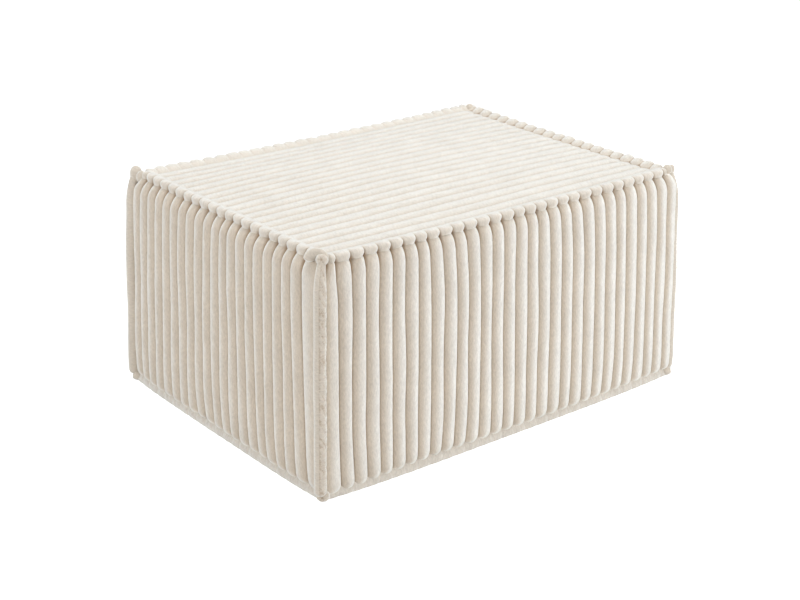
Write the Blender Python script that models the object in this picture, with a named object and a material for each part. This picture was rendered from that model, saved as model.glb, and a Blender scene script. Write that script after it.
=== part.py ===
"""Modular sofa ottoman: a box-shaped filled cushion in wide-rib plush, with a raised
flange sewn along each of its twelve edges.

Metres, +Z up. The origin is on the floor, under the middle of the base. X runs along
the long sides, and the front is the long side that faces -Y.
"""

import bpy
import numpy as np
from math import pi

# Driving dimensions
LENGTH = 0.884  # X, over the ribs of the short sides, low down where they bulge most
DEPTH = 0.660  # Y, over the ribs of the long sides, in the same way
HEIGHT = 0.435  # floor to the top of the corner knots
TOP_RIBS = 20

# The plush and the fullness of the filling
RIB_HEIGHT = 0.009
LONG_SIDE_CROWN = 0.009  # a long side's middle stands this far past its corners
SHORT_SIDE_CROWN = 0.005
LEAN_IN = 0.012  # the sides lean in this far from the floor to the top
TOP_CROWN = 0.004

# Where the panels are sewn together
TOP_SEAM_INSET = 0.017  # the rib crests curve in this far to the top seam
BASE_SEAM_INSET = 0.014
TOP_SEAM_Z = HEIGHT - 0.018
BASE_SEAM_Z = 0.018
TOP_SHOULDER = 0.026  # height over which a side rounds in to its top seam
BASE_SHOULDER = 0.040
BASE_INSET = 0.024  # edge of the flat base, under the base seam
CORNER_DRAW = 0.002  # a side is drawn in this much at its corners

# How far a side panel stops short of its neighbour's rib crests. On one side of each
# corner the gap leaves room for the corner flange.
FLANGE_CUT = 0.029
NEAR_CUT = 0.008

# The flanges
FLANGE_WIDTH = 0.027
FLANGE_HEIGHT = 0.0150
KNUCKLE_SHARE = 0.25  # how much thinner a flange is between two ribs than on a rib
FLANGE_LEAN = 0.003  # the top flange overhangs its seam outwards by this
BASE_FLANGE_OUT = 0.006
CORNER_BEAD_WIDTH = 0.018
CORNER_BEAD_DEPTH = 0.011
KNOT_RADIUS = 0.0105
TOP_EDGE_INSET = 0.046  # edge of the top panel, just inside the flange
TOP_EDGE_RISE = 0.003  # the top panel rises this much from its edge to its valleys

SEAM_GAP = 0.0005  # between a flange and the cushion
KNOT_GAP = 0.0015  # and, at the least, between a flange's end and a corner knot
STEPS_PER_RIB = 4
STEPS_PER_KNUCKLE = 3
BEAD_POINTS = 7
BASE_POINTS = 9  # along each edge of the base

# The planes of the rib crests at the corners, where the sides don't bulge, at the floor
HALF_X = LENGTH / 2 - SHORT_SIDE_CROWN
HALF_Y = DEPTH / 2 - LONG_SIDE_CROWN

UP = np.array([0.0, 0.0, 1.0])

# name, direction along it, direction out of it, half along, half out, crown,
# cuts at its start and end, ribs
SIDES = (
    ("front", (1, 0), (0, -1), HALF_X, HALF_Y, LONG_SIDE_CROWN, NEAR_CUT, 0.0, 30),
    ("right", (0, 1), (1, 0), HALF_Y, HALF_X, SHORT_SIDE_CROWN, FLANGE_CUT, 0.0, 21),
    ("back", (-1, 0), (0, 1), HALF_X, HALF_Y, LONG_SIDE_CROWN, FLANGE_CUT, FLANGE_CUT, 28),
    ("left", (0, -1), (-1, 0), HALF_Y, HALF_X, SHORT_SIDE_CROWN, 0.0, FLANGE_CUT, 21),
)


def plush(name, colour):
    """Cream plush: a matt cloth."""
    material = bpy.data.materials.new(name)
    material.use_nodes = True
    shader = material.node_tree.nodes["Principled BSDF"]
    shader.inputs["Base Color"].default_value = (*colour, 1.0)
    shader.inputs["Roughness"].default_value = 0.92
    shader.inputs["Metallic"].default_value = 0.0
    return material


def add_solid(name, points, faces, colour):
    """One closed body as its own object, smooth but for its sharp folds."""
    mesh = bpy.data.meshes.new(name)
    mesh.from_pydata([tuple(point) for point in points], [], faces)
    mesh.shade_smooth()
    mesh.set_sharp_from_angle(angle=0.9)
    mesh.materials.append(plush(name + "_plush", colour))
    solid = bpy.data.objects.new(name, mesh)
    bpy.context.scene.collection.objects.link(solid)
    return solid


def rib_wave(phase):
    """Height of the plush across one rib as a share of its crest: half an ellipse,
    0 in the valley at each end of the phase and 1 on the crest."""
    return np.sqrt(np.clip(1 - (2 * (phase % 1) - 1) ** 2, 0, 1))


def side_bulge(crown, t, z):
    """How far a side stands past its corners: none at its ends (t = -1 and 1), all of the
    crown in the middle of its foot, and little by little less up to the top."""
    return crown * (1 - t**4) * (1 - (z / HEIGHT) ** 4)


def side_section():
    """The section of a side from its base seam to its top seam, in rows of inset, z,
    lean and relief: a quarter ellipse out of the base seam, a straight wall and a
    quarter ellipse in to the top seam. Lean is the angle at which the ribs stand off
    it, and relief is the share of their full height, 0 where a seam pinches them."""
    base_lean = np.radians([-90, -45, 0])
    top_lean = np.radians([0, 45, 90])
    lean = np.concatenate([base_lean, [0], top_lean])
    draw = np.where(lean < 0, BASE_SEAM_INSET, TOP_SEAM_INSET) - RIB_HEIGHT
    inset = RIB_HEIGHT + draw * (1 - np.cos(lean))
    base_z = BASE_SEAM_Z + BASE_SHOULDER * (1 + np.sin(base_lean))
    top_z = TOP_SEAM_Z - TOP_SHOULDER * (1 - np.sin(top_lean))
    z = np.concatenate([base_z, [0.4 * HEIGHT], top_z])
    relief = np.sqrt(np.abs(np.cos(lean)))
    relief[[0, -1]] = 0
    return inset, z, lean, relief


def side_points(side, rib, inset, z, lean=0.0, relief=0.0):
    """Points on one side at the given rib positions, counted in ribs from the side's
    start. Near the corners the ribs are drawn along to where the seams meet."""
    _, along_axis, out_axis, half_along, half_out, crown, start_cut, end_cut, ribs = side
    t = 2 * rib / ribs - 1
    within = np.clip(t, -1, 1)
    leant = LEAN_IN * z / HEIGHT
    middle = (start_cut - end_cut) / 2
    reach = half_along - leant - (start_cut + end_cut) / 2
    along = middle + reach * t - (inset - RIB_HEIGHT) * np.sign(t) * np.abs(within) ** 8
    height = RIB_HEIGHT * relief * rib_wave(rib)
    out = half_out - leant - inset + side_bulge(crown, within, z) - CORNER_DRAW * within**12
    out = out + height * np.cos(lean)
    up = z + height * np.sin(lean) + 0 * t
    x = along * along_axis[0] + out * out_axis[0]
    y = along * along_axis[1] + out * out_axis[1]
    return np.stack([x, y, up], axis=-1)


def top_panel_points():
    """A grid over the top panel, across the ribs along its second axis. Its height is
    a crown in both directions and the ribs, which end pinched at the short edges."""
    share = np.linspace(-1, 1, 9)
    tx = np.sign(share) * (1 - (1 - np.abs(share)) ** 2.5)
    rib = np.arange(TOP_RIBS * STEPS_PER_RIB + 1) / STEPS_PER_RIB
    ty = 2 * rib / TOP_RIBS - 1
    tx, ty = np.meshgrid(tx, ty, indexing="ij")
    within = (np.abs(tx) < 1) & (np.abs(ty) < 1)
    crown = (1 - tx**2) * (1 - ty**2)
    rise = TOP_EDGE_RISE * within
    ribs = RIB_HEIGHT * rib_wave(rib) * (np.abs(tx) < 1)
    z = TOP_SEAM_Z + TOP_CROWN * crown + rise + ribs
    x = (HALF_X - LEAN_IN - TOP_EDGE_INSET) * tx
    y = (HALF_Y - LEAN_IN - TOP_EDGE_INSET) * ty
    return np.stack([x, y, z], axis=-1)


def zipped(first, second):
    """Triangles between two rows of vertices that run the same way, each given as
    (vertices, shares of the way along). The row that lags behind moves on."""
    (a, a_share), (b, b_share) = first, second
    i = j = 0
    triangles = []
    while i < len(a) - 1 or j < len(b) - 1:
        move_a = j == len(b) - 1 or (i < len(a) - 1 and a_share[i + 1] <= b_share[j + 1])
        if move_a:
            triangles.append((a[i], a[i + 1], b[j]))
            i += 1
        else:
            triangles.append((a[i], b[j + 1], b[j]))
            j += 1
    return triangles


def add_filled_cushion():
    """The filled case: a band of four ribbed sides, the ribbed top panel inside the
    top seam and the flat base inside the base seam."""
    inset, z, lean, relief = side_section()
    rows, spans = [], []
    for row in range(len(z)):
        parts = []
        for side in SIDES:
            ribs = side[-1]
            rib = np.arange(ribs * STEPS_PER_RIB + 1) / STEPS_PER_RIB
            parts.append(side_points(side, rib, inset[row], z[row], lean[row], relief[row]))
        rows.append(np.concatenate(parts))
    start = 0
    for part in parts:
        spans.append(np.arange(start, start + len(part)))
        start += len(part)
    around = len(rows[0])

    base_share = np.linspace(0, 1, BASE_POINTS)
    base = np.concatenate([side_points(s, base_share * s[-1], BASE_INSET, BASE_SEAM_Z) for s in SIDES])
    base[:, 2] = 0
    top = top_panel_points()
    points = np.concatenate(rows + [base, top.reshape(-1, 3)])
    base_start = around * len(rows)
    top_start = base_start + len(base)

    faces = []
    step = np.arange(around)
    onward = (step + 1) % around
    for row in range(len(rows) - 1):
        low, high = row * around, (row + 1) * around
        quads = np.stack([low + step, low + onward, high + onward, high + step], axis=1)
        faces += quads.tolist()

    grid = top_start + np.arange(top.shape[0] * top.shape[1]).reshape(top.shape[:2])
    quads = np.stack([grid[:-1, :-1], grid[1:, :-1], grid[1:, 1:], grid[:-1, 1:]], axis=-1)
    faces += quads.reshape(-1, 4).tolist()
    top_edges = (grid[:, 0], grid[-1, :], grid[::-1, -1], grid[0, ::-1])

    seam = around * (len(rows) - 1)
    for number, span in enumerate(spans):
        share = np.linspace(0, 1, len(span))
        edge = top_edges[number]
        along = points[edge] @ np.array([*SIDES[number][1], 0])
        edge_share = (along - along[0]) / (along[-1] - along[0])
        faces += zipped((seam + span, share), (edge, edge_share))
        following = spans[(number + 1) % 4]
        faces.append((seam + span[-1], seam + following[0], edge[-1]))
        under = base_start + BASE_POINTS * number + np.arange(BASE_POINTS)
        faces += zipped((under, base_share), (span, share))
        next_under = base_start + BASE_POINTS * ((number + 1) % 4)
        faces.append((under[-1], next_under, following[0], span[-1]))
    faces.append(tuple(int(v) for v in reversed(base_start + np.arange(len(base)))))
    return add_solid("filled_cushion", points, [tuple(map(int, f)) for f in faces], (0.80, 0.76, 0.69))


def bead_section(width, height):
    """A rounded bead with a flat foot: most of a circle, squashed to the width and the
    height, as (across, up) from the middle of its foot."""
    angle = np.radians(np.linspace(-60, 240, BEAD_POINTS))
    lowest = np.sin(angle[0])
    return np.stack([width / 2 * np.cos(angle), height * (np.sin(angle) - lowest) / (1 - lowest)], axis=1)


def add_flange(name, rings, colour):
    """A closed solid through rings of points that turn anticlockwise as seen from its
    end, capped at both ends."""
    count, sides = rings.shape[:2]
    index = np.arange(count * sides).reshape(count, sides)
    onward = np.roll(index, -1, axis=1)
    quads = np.stack([index[:-1], onward[:-1], onward[1:], index[1:]], axis=-1).reshape(-1, 4)
    caps = [tuple(index[0, ::-1].tolist()), tuple(index[-1].tolist())]
    return add_solid(name, rings.reshape(-1, 3), [tuple(q) for q in quads.tolist()] + caps, colour)


def add_top_flange(side):
    """A standing flange: a bead that swells into one knuckle for each rib, on the ledge
    inside the top seam. It runs from corner knot to corner knot, past the last ribs, and
    its ends taper in."""
    name, along_axis, out_axis, half_along, ribs = *side[:4], side[-1]
    rib = np.arange(-STEPS_PER_KNUCKLE, (ribs + 1) * STEPS_PER_KNUCKLE + 1) / STEPS_PER_KNUCKLE
    seam = side_points(side, rib, TOP_SEAM_INSET, TOP_SEAM_Z + SEAM_GAP)
    to_knot = half_along - LEAN_IN - TOP_SEAM_INSET - KNOT_RADIUS - KNOT_GAP
    between = np.abs(seam[:, :2] @ np.array(along_axis)) < to_knot
    seam = seam[between]
    size = 1 - KNUCKLE_SHARE * (1 - rib_wave(rib[between]))
    size[[0, 1, -2, -1]] = (0.5, 0.8, 0.8, 0.5)
    section = bead_section(FLANGE_WIDTH, FLANGE_HEIGHT)
    across = size[:, None] * section[:, 0] - FLANGE_WIDTH / 2 + FLANGE_LEAN
    rise = size[:, None] * section[:, 1]
    rings = seam[:, None] + across[..., None] * [*out_axis, 0.0] + rise[..., None] * UP
    return add_flange(f"top_flange_{name}", rings[::-1], (0.83, 0.79, 0.73))


def add_base_flange(side):
    """A pressed flange: a strip that hangs from the base seam to the floor, with a low
    swell under each rib."""
    name, out_axis, ribs = side[0], side[2], side[-1]
    rib = np.concatenate([[0.5], np.arange(1, ribs), [ribs - 0.5]])
    seam = side_points(side, rib, BASE_SEAM_INSET, BASE_SEAM_Z)
    swell = 1 + 0.12 * np.cos(pi * np.arange(len(rib)))
    section = np.array(
        [
            (BASE_SEAM_INSET - BASE_INSET + SEAM_GAP, -BASE_SEAM_Z),
            (BASE_FLANGE_OUT - 0.003, -BASE_SEAM_Z),
            (BASE_FLANGE_OUT, -0.6 * BASE_SEAM_Z),
            (BASE_FLANGE_OUT - 0.004, -0.1 * BASE_SEAM_Z),
            (SEAM_GAP, -SEAM_GAP),
        ]
    )
    across = section[:, 0] * np.where(section[:, 0] > SEAM_GAP, swell[:, None], 1)
    rings = seam[:, None] + across[..., None] * [*out_axis, 0.0] + section[:, 1, None] * UP
    return add_flange(f"base_flange_{name}", rings[::-1], (0.74, 0.69, 0.61))


def add_corner_flange(name, before, after, x_sign, y_sign):
    """The flange down a vertical corner: a bead on the flat between the end of one side
    and the start of the next, from the floor to the top seam, that ends in the knot where
    the top flanges gather."""
    inset, z, _, _ = side_section()
    inset = np.concatenate([[BASE_INSET], inset])
    z = np.concatenate([[0.0], z])
    end = side_points(before, before[-1], inset, z)
    start = side_points(after, 0, inset, z)
    across = end - start
    across /= np.linalg.norm(across, axis=1, keepdims=True)
    outward = np.stack([-across[:, 1], across[:, 0], 0 * z], axis=1)
    foot = (start + end) / 2 + SEAM_GAP * outward
    foot[-1, 2] += SEAM_GAP  # the bead steps over the edge of the ledge
    section = bead_section(CORNER_BEAD_WIDTH, CORNER_BEAD_DEPTH)
    bead = foot[:, None] + section[:, :1] * across[:, None] + section[:, 1:] * outward[:, None]

    polar = np.radians([-42, -15, 18, 50, 75])
    centre = np.array(
        [
            x_sign * (HALF_X - LEAN_IN - TOP_SEAM_INSET),
            y_sign * (HALF_Y - LEAN_IN - TOP_SEAM_INSET),
            HEIGHT - KNOT_RADIUS * np.sin(polar[-1]),
        ]
    )
    turn = np.radians(np.linspace(-60, 240, BEAD_POINTS))
    circle = np.cos(turn)[:, None] * across[-1] + np.sin(turn)[:, None] * outward[-1]
    radius = KNOT_RADIUS * np.cos(polar)
    knot = centre + radius[:, None, None] * circle
    knot = knot + (KNOT_RADIUS * np.sin(polar))[:, None, None] * UP
    return add_flange(f"corner_flange_{name}", np.concatenate([bead, knot]), (0.77, 0.72, 0.65))


def main():
    for thing in list(bpy.data.objects):
        bpy.data.objects.remove(thing, do_unlink=True)
    add_filled_cushion()
    for side in SIDES:
        add_top_flange(side)
        add_base_flange(side)
    front, right, back, left = SIDES
    add_corner_flange("front_left", left, front, -1, -1)
    add_corner_flange("front_right", front, right, 1, -1)
    add_corner_flange("back_right", right, back, 1, 1)
    add_corner_flange("back_left", back, left, -1, 1)


main()
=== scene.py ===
"""Modular sofa ottoman: a firmly filled case of cream wide-rib plush, with a raised flange
sewn along every edge. Metres, +Z up, standing on z = 0 with its middle at the origin."""

from math import pi, radians
from typing import NamedTuple

import bpy
import numpy as np
from mathutils import Matrix, Vector


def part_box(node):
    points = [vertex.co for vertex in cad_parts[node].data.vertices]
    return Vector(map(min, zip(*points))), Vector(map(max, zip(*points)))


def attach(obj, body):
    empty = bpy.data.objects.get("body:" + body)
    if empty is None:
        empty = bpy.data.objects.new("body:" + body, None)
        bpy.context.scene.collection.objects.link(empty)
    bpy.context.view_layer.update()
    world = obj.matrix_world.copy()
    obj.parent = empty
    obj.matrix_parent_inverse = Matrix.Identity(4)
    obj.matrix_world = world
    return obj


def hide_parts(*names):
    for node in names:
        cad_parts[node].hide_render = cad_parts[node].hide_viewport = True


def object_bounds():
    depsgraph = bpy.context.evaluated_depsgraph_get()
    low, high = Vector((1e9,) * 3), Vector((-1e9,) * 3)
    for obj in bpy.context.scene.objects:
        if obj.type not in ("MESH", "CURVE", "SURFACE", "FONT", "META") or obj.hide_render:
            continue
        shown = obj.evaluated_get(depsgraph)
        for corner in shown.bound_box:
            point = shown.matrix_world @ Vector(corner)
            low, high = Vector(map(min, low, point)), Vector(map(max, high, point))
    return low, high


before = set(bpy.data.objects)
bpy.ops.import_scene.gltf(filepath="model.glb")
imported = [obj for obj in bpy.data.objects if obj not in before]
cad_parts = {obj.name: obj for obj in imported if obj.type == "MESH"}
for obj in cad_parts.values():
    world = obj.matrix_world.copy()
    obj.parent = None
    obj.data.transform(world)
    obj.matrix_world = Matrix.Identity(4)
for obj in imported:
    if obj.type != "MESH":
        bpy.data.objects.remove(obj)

cad_low, cad_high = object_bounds()

# ---- Side panels -------------------------------------------------------------------------
# Two long and two short cuts of the same plush, ribs upright. Each one bellies out over the
# filling, rolls in to the seams at top and bottom, and is dimpled between its ribs there.

HEIGHT = cad_high.z
CASE_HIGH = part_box("filled_cushion")[1]
CREST_IN_X, CREST_IN_Y = 0.0034, 0.0074  # from the case's reach to its rib crests at the corners
HALF_X, HALF_Y = CASE_HIGH.x - CREST_IN_X, CASE_HIGH.y - CREST_IN_Y  # to the planes of those crests
LEAN_IN = 0.012  # the sides lean in this far from the floor to the top
SEAM_RISE = 0.0020  # the top seams run this far above the flanges' lower edge
TOP_SEAM_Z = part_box("top_flange_front")[0].z + SEAM_RISE
BASE_SEAM_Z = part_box("base_flange_front")[1].z
SIDE_RIB_STEPS = 16
WALL_ROWS = 105
SIDE_FULLNESS = 0.48  # of a rib's section: see rib_wave
SEAM_LEAN = radians(72)  # how far the plush has rolled over where it meets a seam
CORNER_DRAW = 0.002  # a side is drawn in this much at its corners
CORNER_PULL = 0.010  # and its ribs are drawn along this much at its seams
LONG_CROWN, SHORT_CROWN = 0.009, 0.005  # how far a side's middle stands past its corners


def rib_wave(phase, fullness=0.5):
    """Height across one rib as a share of its crest: (1 - s^2) to the power fullness, with s
    from -1 to 1 across the rib. A power of a half is half an ellipse, and more is narrower."""
    return np.clip(1 - (2 * (phase % 1) - 1) ** 2, 0, 1) ** fullness


def rib_positions(ribs, steps):
    """Places across a panel, counted in ribs: the steps of each rib crowd towards its
    valleys by half a cosine, because the plush turns fastest there."""
    within = (1 - np.cos(pi * np.arange(steps) / steps)) / 2
    return np.append((np.arange(ribs)[:, None] + within).ravel(), ribs)


def unevenness(u, v, cells_u, cells_v, seed):
    """Slow unevenness from -1 to 1 for u and v from 0 to 1: random values at the corners of
    cells_u by cells_v cells, with a smoothstep blend between the four nearest."""
    lattice = np.random.default_rng(seed).uniform(-1, 1, (cells_u + 2, cells_v + 2))
    x, y = np.clip(u, 0, 1) * cells_u, np.clip(v, 0, 1) * cells_v
    i, j = x.astype(int), y.astype(int)
    a, b = x - i, y - j
    a, b = a * a * (3 - 2 * a), b * b * (3 - 2 * b)
    low = lattice[i, j] * (1 - a) + lattice[i + 1, j] * a
    high = lattice[i, j + 1] * (1 - a) + lattice[i + 1, j + 1] * a
    return low * (1 - b) + high * b


def run_lengths(points, axis):
    """Mean length of cloth up to each row of a grid, which becomes its UV in metres."""
    step = np.linalg.norm(np.diff(points, axis=axis), axis=2).mean(axis=1 - axis)
    return np.append(0, np.cumsum(step))


def sewn_piece(name, rings, pile, material, nodes):
    """A closed piece through rings of points: ring by ring along the piece, and round each
    ring back to its start, with both ends capped. Pile is 0 where the root colour shows,
    which in valleys, creases and stitch lines is also painted shade, 1 on a crest, and more
    where the tips show paler, which on the side panels is a painted highlight. The UV map
    is in metres."""
    count, around = rings.shape[:2]
    index = np.arange(count * around).reshape(count, around)
    onward = np.roll(index, -1, axis=1)
    quads = np.stack([index[:-1], index[1:], onward[1:], onward[:-1]], axis=-1).reshape(-1, 4)
    faces = quads.tolist() + [index[0].tolist(), index[-1, ::-1].tolist()]
    mesh = bpy.data.meshes.new(name)
    mesh.from_pydata(rings.reshape(-1, 3), [], faces)
    mesh.shade_smooth()
    depth = mesh.attributes.new("pile", "FLOAT", "POINT")
    depth.data.foreach_set("value", pile.astype(np.float32).ravel())

    along = run_lengths(rings, 0)
    across = run_lengths(np.concatenate([rings, rings[:, :1]], axis=1), 1)
    u = np.broadcast_to(along[:, None], (count, around + 1))
    v = np.broadcast_to(across, (count, around + 1))
    uv = np.stack([u, v], axis=-1)
    corners = np.stack([uv[:-1, :-1], uv[1:, :-1], uv[1:, 1:], uv[:-1, 1:]], axis=2)
    caps = np.concatenate([uv[0, :-1], uv[-1, -2::-1]])
    layer = mesh.uv_layers.new(name="cloth")
    loops = np.concatenate([corners.reshape(-1, 2), caps])
    layer.data.foreach_set("uv", loops.astype(np.float32).ravel())

    mesh.materials.append(material)
    piece = bpy.data.objects.new(name, mesh)
    bpy.context.scene.collection.objects.link(piece)
    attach(piece, "root")
    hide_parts(*nodes)


def linear(colour):
    """An sRGB hex colour as linear red, green, blue and an alpha of 1."""
    share = np.array([int(colour[i : i + 2], 16) / 255 for i in (1, 3, 5)])
    value = np.where(share <= 0.04045, share / 12.92, ((share + 0.055) / 1.055) ** 2.4)
    return (*value.tolist(), 1.0)


def add_node(tree, kind, links=(), **settings):
    """Adds a node. Settings name its properties, or its inputs where a property has no such
    name. Links are (input, socket) pairs."""
    node = tree.nodes.new(kind)
    for key, value in settings.items():
        if hasattr(node, key):
            setattr(node, key, value)
        else:
            node.inputs[key.replace("_", " ").title()].default_value = value
    for place, socket in links:
        tree.links.new(socket, node.inputs[place])
    return node


# Knitted polyester plush, brushed and sheared into wide ribs. Its pile is a warm sand at the
# root, which shows where it is seen end on or pressed into a valley, and the same sand is
# painted in as shade in valleys, creases, hollows and seams. It is nearly white at the tips,
# which show where it is seen side on, and that paling is also a painted sheen; the side
# panels are paler still on the later half of each rib, a painted highlight. Hands and folds
# have turned it in soft slanting clumps, so it is mottled, and its surface is matt.
CREST, ROOT_AND_SHADE, TIPS_AND_SHEEN, SHEEN = "#D9CDBD", "#B0967A", "#F5F3ED", "#FFFDF8"
UPRIGHT_PILE = 0.6  # from this value of the pile attribute on, neither the root colour nor the painted shade shows
SIDE_ON = 0.18, 0.80  # how far side on the pile is seen where its pale tips and painted sheen begin to show, and do fully
NAP_MM = 2.6  # a clump of fibres that lies one way
NAP_SLANT = radians(35)  # the clumps lie across the ribs at this angle
NAP_STRETCH = (1.0, 0.35, 1.0)  # and are three times as long as they are wide
MOTTLE_MM = 55.0  # a patch where a hand has stroked it
PATCH_SHARE = 0.3  # the patches differ by this share of what the clumps differ by
NOISE = {"From_Min": 0.3, "From_Max": 0.7}  # a noise mostly runs between these


def plush(name, tuft_mm=2.0, nap_depth=0.0008, mottle=0.10, tips_and_painted_light=0.0):
    """Ribbed plush: root and crest colours blended by the pile attribute, so that a low pile
    shows the root colour, which also serves as painted shade; paler where it is seen side
    on, which is the pale tips and a painted sheen; paler still where the pile attribute is
    over 1, which on the side panels is a painted highlight; and darkened or lightened in
    clumps by the mottle. Single tufts are 0.5 mm, drawn coarser so that they show."""
    material = bpy.data.materials.new(name)
    material.use_nodes = True
    tree = material.node_tree
    shader = tree.nodes["Principled BSDF"]
    cloth = add_node(tree, "ShaderNodeUVMap", uv_map="cloth").outputs["UV"]
    slanted = add_node(tree, "ShaderNodeMapping", [("Vector", cloth)],
                       Rotation=(0, 0, NAP_SLANT), Scale=NAP_STRETCH).outputs[0]
    slow = add_node(tree, "ShaderNodeTexNoise", [("Vector", cloth)],
                    Scale=1000 / MOTTLE_MM, Detail=2.0).outputs["Fac"]
    nap = add_node(tree, "ShaderNodeTexNoise", [("Vector", slanted)],
                   Scale=1000 / NAP_MM, Detail=3.0, Roughness=0.65).outputs["Fac"]
    fibre = add_node(tree, "ShaderNodeTexNoise", [("Vector", cloth)],
                     Scale=1000 / tuft_mm, Detail=2.0).outputs["Fac"]

    pile = add_node(tree, "ShaderNodeAttribute", attribute_name="pile").outputs["Fac"]
    # A low pile blends to the root colour: the root itself, and painted shade in valleys, creases, hollows
    # and seams
    lift = add_node(tree, "ShaderNodeMapRange", [("Value", pile)],
                    interpolation_type="SMOOTHSTEP", From_Max=UPRIGHT_PILE).outputs[0]
    crest = add_node(tree, "ShaderNodeMix", [("Factor", lift)],
                     data_type="RGBA", A=linear(ROOT_AND_SHADE), B=linear(CREST)).outputs["Result"]
    # Paler where seen side on: the pale tips, and a painted sheen
    facing = add_node(tree, "ShaderNodeLayerWeight", Blend=0.5).outputs["Facing"]
    pale = add_node(tree, "ShaderNodeMapRange", [("Value", facing)],
                    interpolation_type="SMOOTHSTEP", From_Min=SIDE_ON[0], From_Max=SIDE_ON[1],
                    To_Min=tips_and_painted_light).outputs[0]
    pale_crest = add_node(tree, "ShaderNodeMath", [(0, pale), (1, lift)],
                          operation="MULTIPLY").outputs[0]
    # Pile over 1 is paler still: on the side panels this is a painted highlight
    painted_highlight_and_pale_tips = add_node(tree, "ShaderNodeMapRange", [("Value", pile)],
                            From_Min=1.0, From_Max=2.0).outputs[0]
    tips = add_node(tree, "ShaderNodeMath", [(0, pale_crest), (1, painted_highlight_and_pale_tips)],
                    operation="ADD", use_clamp=True).outputs[0]
    base = add_node(tree, "ShaderNodeMix", [("Factor", tips), ("A", crest)],
                    data_type="RGBA", B=linear(TIPS_AND_SHEEN)).outputs["Result"]

    patches = PATCH_SHARE * mottle
    shade = add_node(tree, "ShaderNodeMapRange", [("Value", slow)],
                     **NOISE, To_Min=1 - patches, To_Max=1 + patches).outputs[0]
    clump = add_node(tree, "ShaderNodeMapRange", [("Value", nap)],
                     **NOISE, To_Min=1 - mottle, To_Max=1 + mottle).outputs[0]
    both = add_node(tree, "ShaderNodeMath", [(0, shade), (1, clump)], operation="MULTIPLY").outputs[0]
    colour = add_node(tree, "ShaderNodeVectorMath", [(0, base), ("Scale", both)],
                      operation="SCALE").outputs[0]
    tree.links.new(colour, shader.inputs["Base Color"])

    height = add_node(tree, "ShaderNodeMath", [(0, nap), (1, fibre)], operation="ADD").outputs[0]
    bump = add_node(tree, "ShaderNodeBump", [("Height", height)], Strength=0.7, Distance=nap_depth)
    tree.links.new(bump.outputs[0], shader.inputs["Normal"])
    shader.inputs["Roughness"].default_value = 0.95
    shader.inputs["Specular IOR Level"].default_value = 0.12
    shader.inputs["Sheen Weight"].default_value = 0.25
    shader.inputs["Sheen Roughness"].default_value = 0.40
    shader.inputs["Sheen Tint"].default_value = linear(SHEEN)
    return material


PANEL_PLUSH = plush("ribbed_polyester_plush_sheared")
PANEL_BACK = 0.012  # a panel and the filling behind it, as far as it is modelled

# Inset from the crest plane and height, at the wall and at the seam, for valleys and crests
TOP_VALLEY = (0.0095, TOP_SEAM_Z - 0.030), (0.0240, TOP_SEAM_Z)
TOP_CREST = (0.0000, TOP_SEAM_Z - 0.023), (0.0090, TOP_SEAM_Z + 0.0035)
BASE_VALLEY = (0.0095, BASE_SEAM_Z + 0.020), (0.0190, BASE_SEAM_Z - 0.001)
BASE_CREST = (0.0000, BASE_SEAM_Z + 0.010), (0.0085, BASE_SEAM_Z - 0.004)
FOOT_DRAW, FOOT_RISE = 0.0030, 0.075  # the sides also draw in slowly towards the base
FOOT_BAND = 0.05  # what happens at the base seam fades out over this height
WIDENING_RISE = 0.42  # over this height a wider last rib grows by all of its extra width

# Unevenness of the ribs: how far they stray, in ribs, each by itself and with its neighbours,
# how much their fullness varies, slowly and in clumps, and how far the filling swells
OWN_STRAY, SHARED_STRAY = 0.05, 0.07
SLOW_VARIATION, CLUMP_VARIATION = 0.06, 0.05
FILLING_SWELL = 0.0012

# Where the plush hangs slack beside a knot, the first seven ribs reach lower and spread along
# the foot, and the first is pinched in below the knot. Both are in ribs per metre of slack.
SLACK_RIBS, PINCHED_RIBS = 7, 2.4
FOOT_SPREAD, SPREAD_RISE = 32, 0.12
KNOT_PINCH, PINCH_FOOT_Z = 34, 0.35


class Side(NamedTuple):
    """One side of the case. Seen from outside, it starts on the left."""

    name: str
    along: tuple  # the direction along it
    out: tuple  # and out of it
    half_along: float
    half_out: float  # its distance from the middle
    crown: float
    ribs: int
    seed: int
    start_cut: float  # room left for the corner flange at its start
    end_cut: float  # and at its end
    draw: float  # how much further in its top seam lies
    sag: float  # how far that seam sags in the middle
    nap: float  # how strong the painted highlight is on the later half of its ribs
    push: float = 0.0  # how far its middle ribs are pushed along
    wider: float = 0.0  # how much wider its last rib is cut, in ribs
    slack: float = 0.0  # how far its first ribs reach down past the others


SIDES = (
    Side("front", (1, 0), (0, -1), HALF_X, HALF_Y, LONG_CROWN, ribs=30, seed=20, start_cut=0.012,
         end_cut=0.002, draw=0.0, sag=0.0025, nap=0.55, push=-0.004, slack=0.0080),
    Side("right", (0, 1), (1, 0), HALF_Y, HALF_X, SHORT_CROWN, ribs=21, seed=30, start_cut=0.0215,
         end_cut=0.012, draw=0.002, sag=0.0030, nap=0.30),
    Side("back", (-1, 0), (0, 1), HALF_X, HALF_Y, LONG_CROWN, ribs=30, seed=40, start_cut=0.012,
         end_cut=0.014, draw=0.002, sag=0.0050, nap=0.30),
    Side("left", (0, -1), (-1, 0), HALF_Y, HALF_X, SHORT_CROWN, ribs=21, seed=50, start_cut=0.009,
         end_cut=0.012, draw=0.005, sag=0.0010, nap=0.0, wider=0.62),
)


def side_bulge(crown, t, z):
    """How far a side stands past its corners: nothing at its ends, t = -1 and 1, all of its
    crown in the middle of its foot, and little by little less up to the top."""
    return crown * (1 - t**4) * (1 - np.clip(z / HEIGHT, 0, 1) ** 4)


def seam_sag(side, t):
    """How far a side's top seam has sagged at t, from -1 to 1 between its two corners: a
    parabola."""
    return -side.sag * (1 - np.clip(t, -1, 1) ** 2)


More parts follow.
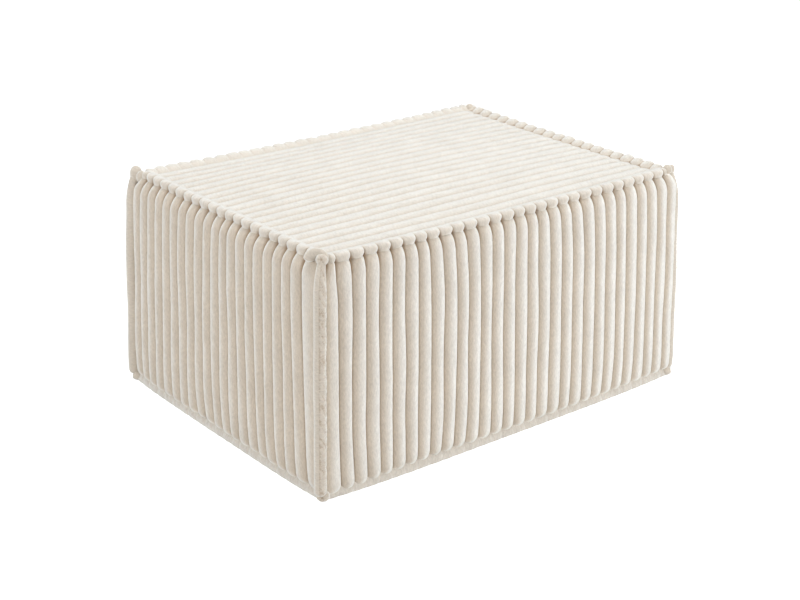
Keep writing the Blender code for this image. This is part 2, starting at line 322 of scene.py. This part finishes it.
def section_line(base, top):
    """The section of a side from its base seam to its top seam, as inset and height: a
    quarter ellipse from the base seam to the wall, the wall, and one to the top seam."""
    lean = np.linspace(0, 1, 13) * SEAM_LEAN
    over = (1 - np.cos(lean)) / (1 - np.cos(SEAM_LEAN))
    rise = np.sin(lean) / np.sin(SEAM_LEAN)
    ends = []
    for (wall_inset, wall_z), (seam_inset, seam_z) in (base, top):
        inset = wall_inset + (seam_inset - wall_inset) * over
        ends.append((inset, wall_z + (seam_z - wall_z) * rise))
    wall_inset = np.full(WALL_ROWS, base[0][0])
    wall_z = np.linspace(base[0][1], top[0][1], WALL_ROWS + 2)[1:-1]
    inset = np.concatenate([ends[0][0][::-1], wall_inset, ends[1][0]])
    z = np.concatenate([ends[0][1][::-1], wall_z, ends[1][1]])
    inset = inset + FOOT_DRAW * np.clip(1 - (z - BASE_SEAM_Z) / FOOT_RISE, 0, 1) ** 2
    return inset, z


def side_points(side, rib, inset, z, pull=0.0):
    """Points of a side at places counted in ribs from its start. A wider last rib has half of
    its extra width at the floor, and grows wider up the side. The middle ribs are pushed
    along by a parabola. Towards the corners the ribs are drawn along by pull, by the eighth
    power of the way there, and in by the twelfth."""
    wider = side.wider * (0.5 + z / WIDENING_RISE)
    t = 2 * (rib + wider * np.clip(rib - side.ribs + 1, 0, None)) / (side.ribs + wider) - 1
    within = np.clip(t, -1, 1)
    leant = LEAN_IN * z / HEIGHT
    reach = side.half_along - leant - (side.start_cut + side.end_cut) / 2
    along = (side.start_cut - side.end_cut) / 2 + reach * t + side.push * (1 - within**2)
    along = along - pull * np.sign(t) * np.abs(within) ** 8
    out = side.half_out - leant - inset + side_bulge(side.crown, within, z) - CORNER_DRAW * within**12
    x = along * side.along[0] + out * side.out[0]
    y = along * side.along[1] + out * side.out[1]
    return np.stack([x, y, z + 0 * along], axis=-1)


def side_wander(side, rib, z):
    """How far a rib strays sideways, in ribs: slow waves up the rib that its neighbours
    partly share, and nothing beside the corners. Slack ribs also spread along the foot, by
    the square of the way down to it, and are pinched in below the knot, by the power 1.5 of
    the way up to it. Both are greatest one rib in, and fade out over the slack ribs."""
    u, v = rib / side.ribs, z / HEIGHT
    own = OWN_STRAY * unevenness(u, v, side.ribs, 4, side.seed)
    shared = SHARED_STRAY * unevenness(u, v, 6, 3, side.seed + 1)
    stray = (own + shared) * np.clip(np.minimum(rib, side.ribs - rib) / 1.5, 0, 1)
    down = np.clip(1 - (z - BASE_SEAM_Z) / SPREAD_RISE, 0, 1)
    up = np.clip((z - PINCH_FOOT_Z) / (TOP_SEAM_Z - PINCH_FOOT_Z), 0, 1)
    spread = FOOT_SPREAD * side.slack * down**2
    pinch = KNOT_PINCH * side.slack * up**1.5
    spread = spread * np.clip(np.minimum(rib, (SLACK_RIBS - rib) / (SLACK_RIBS - 1)), 0, 1)
    pinch = pinch * np.clip(np.minimum(rib, (PINCHED_RIBS - rib) / (PINCHED_RIBS - 1)), 0, 1)
    return stray + spread - pinch


def near_top_seam(z):
    """0 up to where a side begins to roll over to its top seam, and 1 at the seam."""
    return np.clip((z - TOP_VALLEY[0][1]) / (TOP_SEAM_Z - TOP_VALLEY[0][1]), 0, 1)


def side_panel(side):
    """Rings along the side. Each ring runs up the panel's section from the base seam to the
    top seam, between its valley line and its crest line by the rib's wave, and down again
    behind it. The pile follows the wave, so the valleys show the root colour, which is also
    painted shade there, and it is lower at both seams, painted shade in the seam creases. A
    painted highlight makes the later half of each rib paler, and more so towards the end of
    the side."""
    ribs, seed = side.ribs, side.seed
    valley_inset, valley_z = section_line(BASE_VALLEY, TOP_VALLEY)
    crest_inset, crest_z = section_line(BASE_CREST, TOP_CREST)
    rib = rib_positions(ribs, SIDE_RIB_STEPS)
    rib, row = np.meshgrid(rib, np.arange(len(valley_z)), indexing="ij")
    u, v = rib / ribs, valley_z[row] / HEIGHT
    wave = rib_wave(rib, SIDE_FULLNESS)
    slow, clumps = unevenness(u, v, 2 * ribs, 6, seed + 2), unevenness(u, v, 4 * ribs, 45, seed + 4)
    full = 1 + SLOW_VARIATION * slow + CLUMP_VARIATION * clumps
    swell = FILLING_SWELL * unevenness(u, v, 7, 4, seed + 3)
    z = valley_z[row] + (crest_z - valley_z)[row] * wave
    near_top = near_top_seam(z)
    near_base = np.clip(1 - (z - BASE_SEAM_Z) / FOOT_BAND, 0, 1)
    inset = valley_inset[row] + (crest_inset - valley_inset)[row] * wave * full - swell
    inset = inset + side.draw * near_top**2
    z = z - side.slack * np.clip(1 - rib / SLACK_RIBS, 0, 1) * near_base
    z = z + seam_sag(side, 2 * rib / ribs - 1) * near_top
    pull = CORNER_PULL * near_top**2
    skin = side_points(side, rib + side_wander(side, rib, z), inset, z, pull)
    ends = [-1, 0]
    back_inset = inset[:, ends].mean() + PANEL_BACK + 0 * z[:, ends]
    behind = side_points(side, rib[:, ends], back_inset, z[:, ends], pull[:, ends])
    rings = np.concatenate([skin, behind], axis=1)
    # Painted highlight: the later half of each rib, and more so towards the side's end, is made paler
    later = np.clip((rib % 1 - 0.05) / 0.55, 0, 1)
    tips_and_painted_light = side.nap * (later * np.sqrt(wave) + (0.05 + 0.50 * u) * wave)
    # Painted shade: the valleys and both seam creases are darkened towards the root colour
    pressed_and_shaded = wave ** (1 + near_top) * (1 - 0.35 * np.maximum(near_top, near_base) ** 6)
    pile = np.concatenate([pressed_and_shaded + tips_and_painted_light, np.zeros((len(wave), 2))], axis=1)
    sewn_piece(f"side_panel_{side.name}", rings, pile, PANEL_PLUSH, ["filled_cushion"])


for side in SIDES:
    side_panel(side)
front, right, back, left = SIDES

# ---- Base panel --------------------------------------------------------------------------
# The underside: one flat cut of the same plush with its pile pressed smooth, inside the
# base seam. The ottoman rests on it.

BASE_INSET = 0.024
BASE_THICK = 0.006
PRESSED_PILE = 0.5


def base_panel():
    """Rings along X of a flat slab with its long edges rounded."""
    x = np.linspace(-1, 1, 40) * (HALF_X - BASE_INSET)
    turn = np.linspace(-pi / 2, pi / 2, 6)
    half = HALF_Y - BASE_INSET
    edge = BASE_THICK / 2 * (np.cos(turn) - 1)
    y = np.concatenate([half + edge, -half - edge])
    z = BASE_THICK / 2 * (1 + np.concatenate([np.sin(turn), -np.sin(turn)]))
    rings = np.stack(np.broadcast_arrays(x[:, None], y, z), axis=-1)
    pile = np.full(rings.shape[:2], PRESSED_PILE)
    sewn_piece("base_panel", rings, pile, PANEL_PLUSH, ["filled_cushion"])


base_panel()

# ---- Top panel ---------------------------------------------------------------------------
# One cut of wide-rib plush whose ribs run the length of the ottoman. The filling under it
# crowns it slightly, and its edge is caught in the top seams, inside the flanges.

TOP_RIBS = 20
TOP_RIB_HEIGHT = 0.0052
TOP_RIB_STEPS = 14
TOP_ROWS = 150
TOP_LEFT, TOP_RIGHT, TOP_FRONT, TOP_BACK = 0.030, 0.030, 0.041, 0.034  # insets of its edges
TOP_EDGE_RISE = 0.0055
TOP_CROWN = 0.0045
TOP_STRAY = 0.05  # how far its ribs stray, in ribs, and once more with their neighbours
TOP_VARIATION = 0.10  # how much their height varies
TOP_SWELL = 0.0010
LEFT_TURN_UP = 0.0010  # how far the ribs run up on to the left flange
RIGHT_DIP, RIGHT_GAP_DIP = 0.0045, 0.0040  # how far they dip at the right one, and between them
TOP_NAP, CREST_NAP, DIP_SHADE = 1.3, 0.17, 1.8  # its pile, what it loses on crests, and the painted shade in those dips


def top_panel():
    """Rings along X. Each ring is the panel's section across its ribs, closed under it. Its
    height is the seams' sag faded in from the edges, a low crown and the ribs. The ribs run
    up on to the left flange, and there are dips between them at the foot of the right one,
    where the pile is lowered to its root colour, a painted shade in those dips."""
    share = np.linspace(-1, 1, TOP_ROWS)
    tx = (np.sin(share * pi / 2) + share) / 2
    rib = rib_positions(TOP_RIBS, TOP_RIB_STEPS)
    tx, rib = np.meshgrid(tx, rib, indexing="ij")
    u, v = (tx + 1) / 2, rib / TOP_RIBS
    wander = TOP_STRAY * unevenness(u, v, 9, TOP_RIBS, 11) + TOP_STRAY * unevenness(u, v, 3, 3, 14)
    ty = 2 * (rib + wander * np.clip(np.minimum(rib, TOP_RIBS - rib), 0, 1)) / TOP_RIBS - 1
    long_sag = seam_sag(front, tx) * (1 - ty) / 2 + seam_sag(back, tx) * (1 + ty) / 2
    short_sag = seam_sag(left, ty) * (1 - tx) / 2 + seam_sag(right, ty) * (1 + tx) / 2
    crown = TOP_CROWN * (1 - tx**2) * (1 - ty**2)
    left_end = np.clip((-tx - 0.95) / 0.05, 0, 1) ** 2
    right_end = np.clip((tx - 0.955) / 0.045, 0, 1)
    wave = rib_wave(rib)
    full = 1 + TOP_VARIATION * unevenness(u, v, 60, 2 * TOP_RIBS, 12)
    swell = TOP_SWELL * unevenness(u, v, 5, 4, 13)
    relief = TOP_RIB_HEIGHT * full * wave
    turn_up = LEFT_TURN_UP * left_end - right_end * (RIGHT_DIP + RIGHT_GAP_DIP * (1 - wave))
    z = TOP_SEAM_Z + TOP_EDGE_RISE + long_sag * ty**2 + short_sag * tx**2
    z = z + crown + swell + relief + turn_up
    x = (HALF_X - LEAN_IN - (TOP_LEFT + TOP_RIGHT) / 2) * tx + (TOP_LEFT - TOP_RIGHT) / 2
    y = (HALF_Y - LEAN_IN - (TOP_FRONT + TOP_BACK) / 2) * ty + (TOP_FRONT - TOP_BACK) / 2
    skin = np.stack([x, y, z], axis=-1)
    behind = skin[:, [-1, 0]] - [0, 0, PANEL_BACK]
    rings = np.concatenate([skin, behind], axis=1)
    # Painted shade: the dips at the foot of the right flange are darkened to the root colour
    tips_and_painted_light = np.clip(TOP_NAP - CREST_NAP * wave - DIP_SHADE * right_end * np.sqrt(1 - wave), 0, None)
    pile = np.concatenate([tips_and_painted_light, np.zeros((len(wave), 2))], axis=1)
    sewn_piece("top_panel", rings[:, ::-1], pile[:, ::-1], PANEL_PLUSH, ["filled_cushion"])


top_panel()

# ---- Top flanges -------------------------------------------------------------------------
# Where the side and top panels meet, both are folded out and stitched through below the
# fold, so that the edge stands up as a soft flange. Each side rib ends in it as a knuckle.

KNUCKLE_STEPS = 16
FLANGE_POINTS = 40
KNOT_REACH = 0.0175  # a flange ends this far before the middle of a corner knot's seams
FLANGE_END = 0.006  # and is rounded off over this length
FLANGE_MIDDLE, END_SHARE = np.array([28, 4]), 0.55  # to this share round this point of its section
FOOT_INSET = 20  # where the flange's inner foot begins, in mm
FINE_LUMP, BROAD_LUMP = 0.45, 0.6  # in mm

# Sections through a knuckle's crest and between two knuckles, from the hidden foot under the
# side panel, over the top, to the foot under the top panel: inset and height over the seam,
# in mm. The flange's top and inner side are smoother than its knuckles.
KNUCKLE_CREST = (
    (20, -8), (12, -4), (8.2, 0.5), (6.8, 5), (6.2, 11), (9.5, 16.5),
    (19, 17.2), (29, 14.5), (39, 10.5), (49, 6), (54, 0), (50, -6),
)
KNUCKLE_VALLEY = (
    (32, -8), (27, -4), (24.5, 0), (17, 4), (13.5, 9), (14.5, 14.5),
    (21, 16.8), (29, 14.5), (39, 10.5), (49, 6), (54, 0), (50, -6),
)

# For each side: how much lower the flange lies between two knuckles, in mm, along its top and
# on its inner face, and the width of its inner foot as a share of the section's
NOTCHES = ((2.0, 0.5, 1.0), (2.6, 3.6, 0.45), (2.2, 1.5, 0.60), (1.2, 0.8, 0.75))


def smooth_line(points, count):
    """A uniform cubic B-spline through the neighbourhood of given points, which starts and
    ends on the first and last one, at evenly spaced parameters."""
    points = np.array(points, dtype=float)
    padded = np.concatenate([2 * points[:1] - points[1:2], points, 2 * points[-1:] - points[-2:-1]])
    place = np.linspace(0, len(points) - 1, count)
    i = np.minimum(place.astype(int), len(points) - 2)
    s = (place - i)[:, None]
    basis = ((1 - s) ** 3, 3 * s**3 - 6 * s**2 + 4, -3 * s**3 + 3 * s**2 + 3 * s + 1, s**3)
    return sum(weight * padded[i + step] for step, weight in enumerate(basis)) / 6


def flange_sections(top_notch, inner_notch, inner_foot):
    """The crest and the valley section for one side's notches, and how far each of their
    points is on the inner face, from 0 to 1 by a smoothstep."""
    crest, valley = smooth_line(KNUCKLE_CREST, FLANGE_POINTS), smooth_line(KNUCKLE_VALLEY, FLANGE_POINTS)
    for line in (crest, valley):
        foot = FOOT_INSET + (line[:, 0] - FOOT_INSET) * inner_foot
        line[:, 0] = np.where(line[:, 0] > FOOT_INSET, foot, line[:, 0])
    inside = np.clip((crest[:, 0] - 12) / 12, 0, 1) * (np.arange(FLANGE_POINTS) > FLANGE_POINTS / 3)
    inside = inside * inside * (3 - 2 * inside)
    ridge = np.clip((valley[:, 1] - 6) / 9, 0, 1)
    valley[:, 1] -= ridge * (top_notch * (1 - inside) + inner_notch * inside)
    valley[:, 0] -= 0.8 * inner_notch * inside
    return crest, valley, inside


def flange_pile(wave, over_seam, v, inside, inner_notch):
    """The pile follows the knuckles' wave on the outer face and stands on the inner one, less
    so where that is notched. It is lowered to the root colour between the knuckles' feet, in
    the hollows at the inner foot, and all along the seam: painted shade in those creases and
    hollows. Heights over the seam are in mm."""
    pile = np.clip(0.10 + 0.90 * wave + inside * (1 - 0.25 * inner_notch), 0, 1)
    pile = pile + 0.1 * inner_notch * inside * wave
    # Painted shade: darker between the knuckles' feet near the seam
    low = np.clip((10 - over_seam) / 6, 0, 1) * (1 - inside)
    pile = pile * (1 - 0.85 * low * (1 - wave**2))
    # Painted shade: darker at the inner foot, most where the inner face is notched
    foot = np.clip((v - 0.64) / 0.16, 0, 1) ** 1.5 * (1 - 0.2 * wave)
    pile = pile * (1 - 0.25 * inner_notch * foot)
    # Painted shade: darker all along the seam
    return pile * np.clip((over_seam + 1) / 4, 0.2, 1)


def top_flange(side, top_notch, inner_notch, inner_foot):
    """Rings along the top seam: the valley section and the crest section, blended by the
    wave of the knuckles, which are narrower where the inner face is notched. Lumps move it
    in and up, and each end shrinks towards the middle of the section by a square root."""
    ribs, seed = side.ribs, side.seed
    rib = rib_positions(ribs + 2, KNUCKLE_STEPS) - 1
    crest, valley, inside = flange_sections(top_notch, inner_notch, inner_foot)
    base = side_points(side, rib, 0.0, TOP_SEAM_Z, 0 * rib)
    to_knot = side.half_along - LEAN_IN - KNOT_REACH
    along = base[:, :2] @ np.array(side.along)
    kept = np.abs(along) < to_knot
    rib, along = rib[kept], along[kept]
    wave = rib_wave(rib, 0.5 + 0.09 * inner_notch)[:, None]
    big = 1 + 0.12 * unevenness(rib / ribs, 0 * rib, ribs, 1, seed + 5)
    section = valley + (wave * big[:, None])[..., None] * (crest - valley)
    u, v = np.broadcast_arrays((rib / ribs)[:, None], np.linspace(0, 1, FLANGE_POINTS))
    fine, broad = unevenness(u, v, 5 * ribs, 8, seed + 6), unevenness(u, v, 2 * ribs, 3, seed + 9)
    lump = FINE_LUMP * fine + BROAD_LUMP * broad
    section = section + np.stack([-lump, lump], axis=-1)
    taper = np.clip((to_knot - np.abs(along)) / FLANGE_END, 0, 1)[:, None, None] ** 0.5
    section = FLANGE_MIDDLE + (section - FLANGE_MIDDLE) * (END_SHARE + (1 - END_SHARE) * taper)
    stray = side_wander(side, rib, 0 * rib + TOP_SEAM_Z)[:, None]
    inset = section[..., 0] / 1000 + side.draw
    rings = side_points(side, rib[:, None] + stray, inset, 0 * inset + TOP_SEAM_Z, CORNER_PULL)
    rings[..., 2] += seam_sag(side, along / side.half_along)[:, None] + section[..., 1] / 1000
    pile = flange_pile(wave, section[..., 1], v, inside, inner_notch)
    node = f"top_flange_{side.name}"
    sewn_piece(f"{node}_plush", rings, pile, FLANGE_PLUSH, [node])


# The same plush folded double, so that its pile fans out and shows its tips
FLANGE_PLUSH = plush("ribbed_polyester_plush_folded", tips_and_painted_light=0.30)
for side, notches in zip(SIDES, NOTCHES):
    top_flange(side, *notches)

# ---- Base flanges ------------------------------------------------------------------------
# The same folded seam along the bottom, pressed flat by the ottoman's weight: a low strip,
# set back under the ribs, whose cut pile has felted into small nubs.

NUB = 0.0006
RIB_SWELL = 0.0010  # how far the strip swells out under each rib
FLOOR_GAP = 0.0002  # it stays this far off the floor
STRIP_POINTS = 26
BASE_STRIP = (  # its section: inset and height, in mm
    (26, 8), (20, 20), (13, 20), (7.5, 15.5), (4.6, 9), (4.8, 3), (7, 0.2), (16, 0.2), (26, 0.2),
)


def base_flange(side):
    """Rings along the base seam: a low rounded strip, with a swell under each rib and nubs
    all over, which fade out in the lowest 4 mm. The pile stands higher on the nubs."""
    ribs, seed = side.ribs, side.seed
    strip = smooth_line(BASE_STRIP, STRIP_POINTS)
    rib, point = np.meshgrid(rib_positions(ribs, KNUCKLE_STEPS), np.arange(len(strip)), indexing="ij")
    u, v = rib / ribs, point / len(strip)
    nub = NUB * (unevenness(u, v, 5 * ribs, 7, seed + 7) + 0.6 * unevenness(u, v, 9 * ribs, 12, seed + 8))
    inset = strip[point, 0] / 1000 + RIB_SWELL * (1 - rib_wave(rib, 0.8)) - nub
    z = strip[point, 1] / 1000
    z = np.clip(z + nub * np.clip(z / 0.004, 0, 1), FLOOR_GAP, None)
    rings = side_points(side, rib, inset, z)
    pile = np.clip(0.85 + 0.30 * nub / NUB, 0, 1.2)
    node = f"base_flange_{side.name}"
    sewn_piece(f"{node}_plush", rings, pile, NUBBY_PLUSH, [node])


# Cut plush felted by wear: deeper and more finely nubbed, with its tips out
NUBBY_PLUSH = plush("polyester_plush_cut_and_felted", tuft_mm=1.8, nap_depth=0.0014, tips_and_painted_light=0.40)
for side in SIDES:
    base_flange(side)

# ---- Corner flanges and knots ------------------------------------------------------------
# Down each corner the two side panels meet in an upright flange: one half a smooth rib, the
# other the cut edge of the pile. At both ends it gathers into a knot with the other seams.

CREST_CORNER = np.array([HALF_X, HALF_Y])
KNOT_Z = TOP_SEAM_Z + 0.0094
TIP_Z, TIP_INSET = 0.0105, 0.0108  # of the knot at the base
TIP_RADIUS, TIP_FLATTEN = 0.0122, 0.85
BEAD_ROWS = 330
BEAD_POINTS = 40
BEAD_FOOT_Z = 0.014
BEAD_BEND = 0.060  # over this height below its knot a flange leans over to it
FOOT_IN, FOOT_IN_RISE = 0.003, 0.06  # it draws in this far at the base, from this height down
SWAY = 0.0007
END_ROUND = 0.010  # it is rounded off over this height at its foot
TUFT = 0.0010  # how far the tufts of the cut edge stand up
GROOVE = 0.0012  # depth of the stitched groove between the two halves
TUFT_SLANT = 0.28  # how far up a row of tufts runs in one turn, as a share of the height
KNOT_POINTS = 34, 48  # from the pucker to the far side, and round it
DIMPLE, FOLD, CLUMP = 0.28, 0.045, 0.035  # of a knot's radius
HOOD_POINTS = 60, 28  # along the fold and round it


class Corner(NamedTuple):
    """One corner of the case. Insets are from the crest planes, along X and Y."""

    name: str
    signs: tuple  # of its place along X and Y
    inset: tuple  # of its flange
    knot_inset: tuple  # of its top knot
    girth: float  # radius of its flange
    gathers: tuple  # of its top knot: offset, radius and height of each
    taper: float = 0.20  # how much its flange narrows up to the knot
    cut_side: int = 1  # side of its flange's cut edge: see corner_flange
    pucker: tuple = (0, 0, -1)  # the way its gathers pucker
    folds: tuple = ()  # of a fold that comes round the top knot: see hood


CORNERS = (
    Corner("front_left", (-1, -1), (0.0010, 0.0056), (0.0155, 0.0190), 0.0108,
           gathers=(((0, 0, 0), 0.0105, 1.0),), taper=0.38, pucker=(-1, -1, 0.45),
           folds=((-22.5, -8, -8, 10), (-22, 1, -8, 10.5), (-17, 8.5, -7.5, 8.5),
                  (-6.3, 13, -4, 6), (5.5, 9.5, -2, 4), (11, 1, 0, 2.2))),
    Corner("front_right", (1, -1), (0.0045, 0.0118), (0.0110, 0.0220), 0.0108,
           gathers=(((-0.0035, -0.0005, -0.0010), 0.0098, 1.10),
                    ((0.0042, -0.0036, -0.0005), 0.0070, 1.40))),
    Corner("back_right", (1, 1), (0.0050, 0.0050), (0.0240, 0.0300), 0.0100,
           gathers=(((0, 0, 0), 0.0100, 1.0),)),
    Corner("back_left", (-1, 1), (0.0035, 0.0035), (0.0150, 0.0040), 0.0100,
           gathers=(((0, 0, -0.0045), 0.0122, 1.35),
                    ((0.0030, -0.0150, -0.0080), 0.0100, 1.3)), cut_side=-1),
)


def corner_flange(corner, seed):
    """Rings up the corner: circles round a line that stands inset from the crest planes of
    the two sides, and leans over to the knot at the top, where they narrow. Angles are
    counted from straight out of the corner towards the next panel. The cut side, 1 for that
    panel's or -1 for the other, is tufted in slanting rows, and the pile is lower between
    its tufts, and lower still in the groove, which is painted shade."""
    z = np.linspace(BEAD_FOOT_Z, KNOT_Z, BEAD_ROWS)
    angle = np.linspace(-pi, pi, BEAD_POINTS, endpoint=False)
    bend = np.clip(1 - (KNOT_Z - z) / BEAD_BEND, 0, 1) ** 2
    foot = FOOT_IN * np.clip(1 - z / FOOT_IN_RISE, 0, 1) ** 2
    sway = SWAY * unevenness(z / HEIGHT, 0 * z, 6, 1, seed)
    crest = CREST_CORNER - (LEAN_IN * z / HEIGHT)[:, None]
    to_knot = (np.array(corner.knot_inset) - corner.inset) * bend[:, None]
    path = crest - np.array(corner.inset) - to_knot - (foot + sway)[:, None]
    out = np.array(corner.signs) / np.sqrt(2)
    across = np.array([-out[1], out[0]])

    z, angle = np.meshgrid(z, angle, indexing="ij")
    u, v = z / HEIGHT, (angle + pi) / (2 * pi)
    turned = corner.cut_side * angle
    cut = np.clip((turned + 0.05) / 0.2, 0, 1) * np.clip((2.2 - turned) / 0.5, 0, 1)
    slanted = np.clip(u + TUFT_SLANT * corner.cut_side * (v - 0.5), 0, 1)
    tufts = unevenness(slanted, v, 160, 10, seed + 1) + 0.5 * unevenness(u, v, 210, 26, seed + 2)
    groove = np.exp(-(((turned - 0.02) / 0.13) ** 2))
    above = (z - z[0, 0]) / END_ROUND
    round_end = np.sqrt(np.clip(above, 0, 1) * np.clip(2 - above, 1, 2))
    swollen = 1 + 0.03 * unevenness(u, v, 12, 4, seed + 3)
    radius = corner.girth * (1 - corner.taper * bend[:, None]) * swollen
    radius = radius * (0.15 + 0.85 * round_end) - GROOVE * groove + TUFT * cut * tufts
    sideways, rise = radius * np.sin(angle), radius * np.cos(angle)
    flat = np.array(corner.signs) * path[:, None] + sideways[..., None] * across + rise[..., None] * out
    rings = np.concatenate([flat, z[..., None]], axis=2)
    # Painted shade: darker in the stitched groove; the tufted half is lower between its tufts
    pile = np.clip(1 - 0.55 * groove - cut * (0.40 - 0.42 * tufts), 0.26, 1.4)
    node = f"corner_flange_{corner.name}"
    sewn_piece(f"{node}_plush", rings, pile, TUFTED_PLUSH, [node])


def knot(name, centre, axis, radius, flatten, node):
    """A gathered ball: circles round the axis of its pucker, from the pucker over to the
    far side. Its radius dips at the pucker by a bell curve, with six small folds running
    into it, and the pile is lowered to the root colour there and between the folds, a
    painted shade in the pucker and its creases."""
    polar = np.linspace(0.03, pi - 0.03, KNOT_POINTS[0])
    turn = np.linspace(0, 2 * pi, KNOT_POINTS[1], endpoint=False)
    polar, turn = np.meshgrid(polar, turn, indexing="ij")
    dimple = np.exp(-((polar / 0.38) ** 2))
    fold = np.cos(6 * turn + 2.5 * polar) * np.exp(-(((polar - 0.7) / 0.35) ** 2))
    clumps = unevenness(polar / pi, turn / (2 * pi), 9, 14, 90) * np.sin(polar)
    reach = radius * (1 - DIMPLE * dimple + FOLD * fold + CLUMP * clumps)
    axis = Vector(axis).normalized()
    first = axis.orthogonal().normalized()
    second = axis.cross(first)
    circle = np.cos(turn)[..., None] * np.array(first) + np.sin(turn)[..., None] * np.array(second)
    ball = (reach * np.cos(polar))[..., None] * np.array(axis) + (reach * np.sin(polar))[..., None] * circle
    rings = np.array(centre) + ball * [1, 1, flatten]
    # Painted shade: darker in the pucker and between the folds
    pressed_and_shaded = (1 - fold) * np.exp(-(((polar - 0.6) / 0.4) ** 2))
    pile = np.clip(1 - 0.8 * dimple - 0.25 * pressed_and_shaded + 0.3 * clumps, 0, 1)
    sewn_piece(name, rings[:, ::-1], pile[:, ::-1], TUFTED_PLUSH, [node])


def hood(name, centre, signs, folds, node):
    """A fold that comes round a knot: a tube along a cubic B-spline near given points,
    rounded off at both ends. The points are right, up and out of the corner, with the
    tube's radius there, all in mm."""
    line = smooth_line(folds, HOOD_POINTS[0]) / 1000
    out = np.array([*signs, 0]) / np.sqrt(2)
    axes = np.stack([np.cross([0, 0, 1], out), [0, 0, 1], out])
    path = np.array(centre) + line[:, :3] @ axes
    onward = np.gradient(path, axis=0)
    onward /= np.linalg.norm(onward, axis=1, keepdims=True)
    first = np.cross(onward, out)
    first /= np.linalg.norm(first, axis=1, keepdims=True)
    second = np.cross(first, onward)
    along = np.linspace(0, 1, len(path))[:, None, None]
    round_end = np.sqrt(np.clip(np.minimum(along, 1 - along) * 7 + 0.02, 0, 1))
    girth = np.linspace(0, 2 * pi, HOOD_POINTS[1], endpoint=False)[:, None]
    ring = np.cos(girth) * first[:, None] + np.sin(girth) * second[:, None]
    lump = 1 + 0.05 * unevenness(along[..., 0], girth.T / (2 * pi), 7, 5, 91)
    rings = path[:, None] + line[:, None, 3:] * round_end * lump[..., None] * ring
    pile = np.full(rings.shape[:2], 1.0)
    sewn_piece(name, rings, pile, TUFTED_PLUSH, [node])


# Plush whose cut edge stands out in short tufts, so it is more finely mottled
TUFTED_PLUSH = plush("polyester_plush_gathered_and_cut", tuft_mm=1.6, nap_depth=0.0010, mottle=0.09,
                     tips_and_painted_light=0.15)
for number, corner in enumerate(CORNERS):
    node = f"corner_flange_{corner.name}"
    signs = np.array(corner.signs)
    corner_flange(corner, seed=60 + 5 * number)
    peak = np.array([*(signs * (CREST_CORNER - LEAN_IN - corner.knot_inset)), KNOT_Z])
    for gather, (offset, radius, tall) in enumerate(corner.gathers):
        knot(f"top_knot_{corner.name}_{gather}", peak + offset, corner.pucker, radius, tall, node)
    tip = (*(signs * (CREST_CORNER - TIP_INSET)), TIP_Z)
    knot(f"base_knot_{corner.name}", tip, (*corner.signs, 0.2), TIP_RADIUS, TIP_FLATTEN, node)
    if corner.folds:
        hood(f"top_hood_{corner.name}", peak, corner.signs, corner.folds, node)

# ---- Floor, lights and camera ------------------------------------------------------------
# A white, evenly lit studio: a floor that glows softly from below, as an acrylic table does,
# with large soft lights all round the camera's side and one overhead.

FLOOR_HALF = 9.0
FLOOR_WHITE = "#F4F4F4"
AMBIENT, BACKDROP = 0.08, 1.1  # strength of the white surroundings as light, and as seen
YAW, PITCH, ROLL = radians(38.92), radians(21.9), radians(0.67)
CAMERA_PLACE = (-1.822, -2.241, 1.327)
SENSOR_MM, LENS_MM = 36, 71.46

floor_mesh = bpy.data.meshes.new("floor")
floor_corners = [(x * FLOOR_HALF, y * FLOOR_HALF, 0) for x, y in ((-1, -1), (1, -1), (1, 1), (-1, 1))]
floor_mesh.from_pydata(floor_corners, [], [(0, 1, 2, 3)])
floor = bpy.data.objects.new("floor", floor_mesh)
bpy.context.scene.collection.objects.link(floor)
acrylic = bpy.data.materials.new("white_acrylic_lit_from_below")
acrylic.use_nodes = True
table = acrylic.node_tree.nodes["Principled BSDF"]
table.inputs["Base Color"].default_value = linear(FLOOR_WHITE)
table.inputs["Roughness"].default_value = 0.9
table.inputs["Emission Color"].default_value = (1, 1, 1, 1)
glow = add_node(acrylic.node_tree, "ShaderNodeLightPath").outputs["Is Camera Ray"]
acrylic.node_tree.links.new(glow, table.inputs["Emission Strength"])
floor_mesh.materials.append(acrylic)

world = bpy.data.worlds.new("studio")
world.use_nodes = True
sky = world.node_tree
background = sky.nodes["Background"]
background.inputs["Color"].default_value = linear("#FFFFFF")
seen = add_node(sky, "ShaderNodeLightPath").outputs["Is Camera Ray"]
strength = add_node(sky, "ShaderNodeMapRange", [("Value", seen)], To_Min=AMBIENT, To_Max=BACKDROP)
sky.links.new(strength.outputs[0], background.inputs["Strength"])
bpy.context.scene.world = world


def softbox(name, place, size, power):
    """A square area light aimed at the middle of the ottoman."""
    light = bpy.data.lights.new(name, "AREA")
    light.shape = "SQUARE"
    light.size = size
    light.energy = power
    lamp = bpy.data.objects.new(name, light)
    lamp.location = place
    lamp.visible_camera = False
    middle = Vector((0, 0, HEIGHT / 2))
    lamp.rotation_euler = (middle - Vector(place)).to_track_quat("-Z", "Y").to_euler()
    bpy.context.scene.collection.objects.link(lamp)


softbox("softbox_right", (2.87, -0.50, 0.95), 1.4, 13.5)
softbox("softbox_front_right", (1.22, -2.64, 0.94), 1.4, 31.5)
softbox("softbox_camera", (-2.06, -2.55, 1.69), 1.7, 20)
softbox("softbox_left", (-2.87, 0.0, 1.08), 1.4, 19)
softbox("softbox_back_left", (-2.24, 1.86, 0.94), 1.4, 9.5)
softbox("softbox_overhead", (0.06, 0.0, 3.22), 2.2, 66)

camera_data = bpy.data.cameras.new("camera")
camera_data.sensor_width = SENSOR_MM
camera_data.lens = LENS_MM
camera = bpy.data.objects.new("camera", camera_data)
camera.matrix_world = (
    Matrix.Translation(CAMERA_PLACE)
    @ Matrix.Rotation(-YAW, 4, "Z")
    @ Matrix.Rotation(pi / 2 - PITCH, 4, "X")
    @ Matrix.Rotation(ROLL, 4, "Z")
)
bpy.context.scene.collection.objects.link(camera)
bpy.context.scene.camera = camera
bpy.context.scene.view_settings.view_transform = "Standard"
